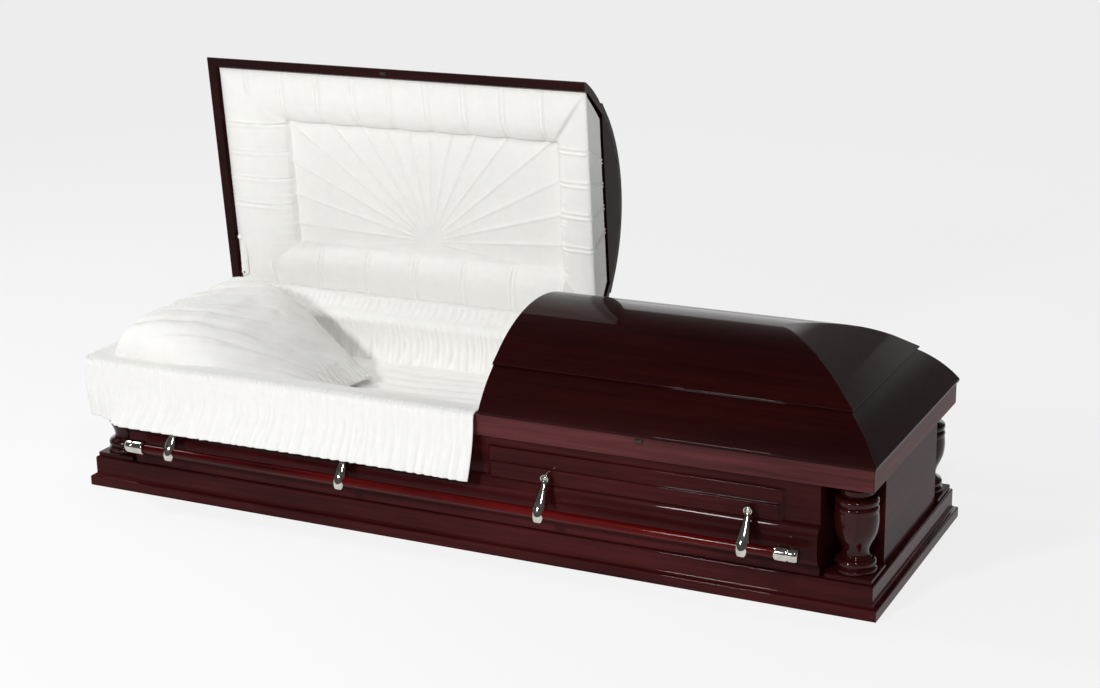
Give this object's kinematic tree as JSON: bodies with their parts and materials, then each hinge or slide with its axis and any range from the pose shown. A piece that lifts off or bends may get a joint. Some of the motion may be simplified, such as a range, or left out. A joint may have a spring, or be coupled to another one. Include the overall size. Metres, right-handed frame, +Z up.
{
  "type": "half-couch funeral casket",
  "caption": "Half-couch wooden casket on a moulded base, with two domed hinged lids, urn corner posts, swing-bar handles and a shirred crepe lining.",
  "frame": {"origin": "the middle of the underside of the base, on the plane that it stands on", "axes": "+X to the foot end, -Y to the front side that the lids open from, +Z up"},
  "size_m": [2.11, 0.908, 1.0204],
  "materials": {
    "gloss_wood": "dark cherry stain under a mirror-polished lacquer",
    "bar_wood": "red-brown stained bar, glossy, with fine streaks along it",
    "nickel": "polished nickel plate, slightly warm",
    "dark_metal": "dark plated steel hinge and catches",
    "crepe": "off-white crepe, shirred and gathered over soft padding",
    "floor_wood": "plain unfinished board"
  },
  "bodies": {
    "root": {"base_moulding": "gloss_wood", "front_wall": "gloss_wood", "back_wall": "gloss_wood", "head_end_wall": "gloss_wood", "foot_end_wall": "gloss_wood", "top_rail": "gloss_wood", "corner_plinth_front_head": "gloss_wood", "corner_plinth_front_foot": "gloss_wood", "corner_plinth_back_foot": "gloss_wood", "corner_plinth_back_head": "gloss_wood", "urn_post_front_head": "gloss_wood", "urn_post_front_foot": "gloss_wood", "urn_post_back_foot": "gloss_wood", "urn_post_back_head": "gloss_wood", "side_moulding_front": "gloss_wood", "side_moulding_back": "gloss_wood", "panel_front_head": "gloss_wood", "panel_front_foot": "gloss_wood", "panel_back_foot": "gloss_wood", "panel_back_head": "gloss_wood", "ear_front_1": "nickel", "ear_front_2": "nickel", "ear_front_3": "nickel", "ear_front_4": "nickel", "ear_back_1": "nickel", "ear_back_2": "nickel", "ear_back_3": "nickel", "ear_back_4": "nickel", "head_hinge": "dark_metal", "foot_hinge": "dark_metal", "foot_catch": "dark_metal", "body_lining": "crepe", "mattress": "crepe", "pillow": "crepe", "rim_overlay": "crepe", "floor_board": "floor_wood"},
    "head_lid": {"head_lid": "gloss_wood", "head_header": "gloss_wood", "head_lid_lining": "crepe", "head_catch": "dark_metal", "lid_stay": "crepe"},
    "foot_lid": {"foot_lid": "gloss_wood", "foot_header": "gloss_wood", "foot_lid_lining": "crepe"},
    "front_handle": {"arm_front_1": "nickel", "arm_front_2": "nickel", "arm_front_3": "nickel", "arm_front_4": "nickel", "bar_front": "bar_wood", "bar_cap_front_head": "nickel", "bar_cap_front_foot": "nickel"},
    "back_handle": {"arm_back_1": "nickel", "arm_back_2": "nickel", "arm_back_3": "nickel", "arm_back_4": "nickel", "bar_back": "bar_wood", "bar_cap_back_head": "nickel", "bar_cap_back_foot": "nickel"}
  },
  "joints": [
    {"name": "head_lid_hinge", "type": "hinge", "parent": "root", "child": "head_lid", "pos_m": [0, 0.3396, 0.34755], "axis": [1, 0, 0], "range_deg": [0, 85.2], "deforming": ["pillow", "rim_overlay"]},
    {"name": "foot_lid_hinge", "type": "hinge", "parent": "root", "child": "foot_lid", "pos_m": [0, 0.3396, 0.34755], "axis": [-1, 0, 0], "range_deg": [0, 85.2]},
    {"name": "front_handle_hinge", "type": "hinge", "parent": "root", "child": "front_handle", "pos_m": [0, -0.3435, 0.2197], "axis": [-1, 0, 0], "range_deg": [0, 60], "deforming": ["rim_overlay"]},
    {"name": "back_handle_hinge", "type": "hinge", "parent": "root", "child": "back_handle", "pos_m": [0, 0.3435, 0.2197], "axis": [1, 0, 0], "range_deg": [0, 60]}
  ]
}
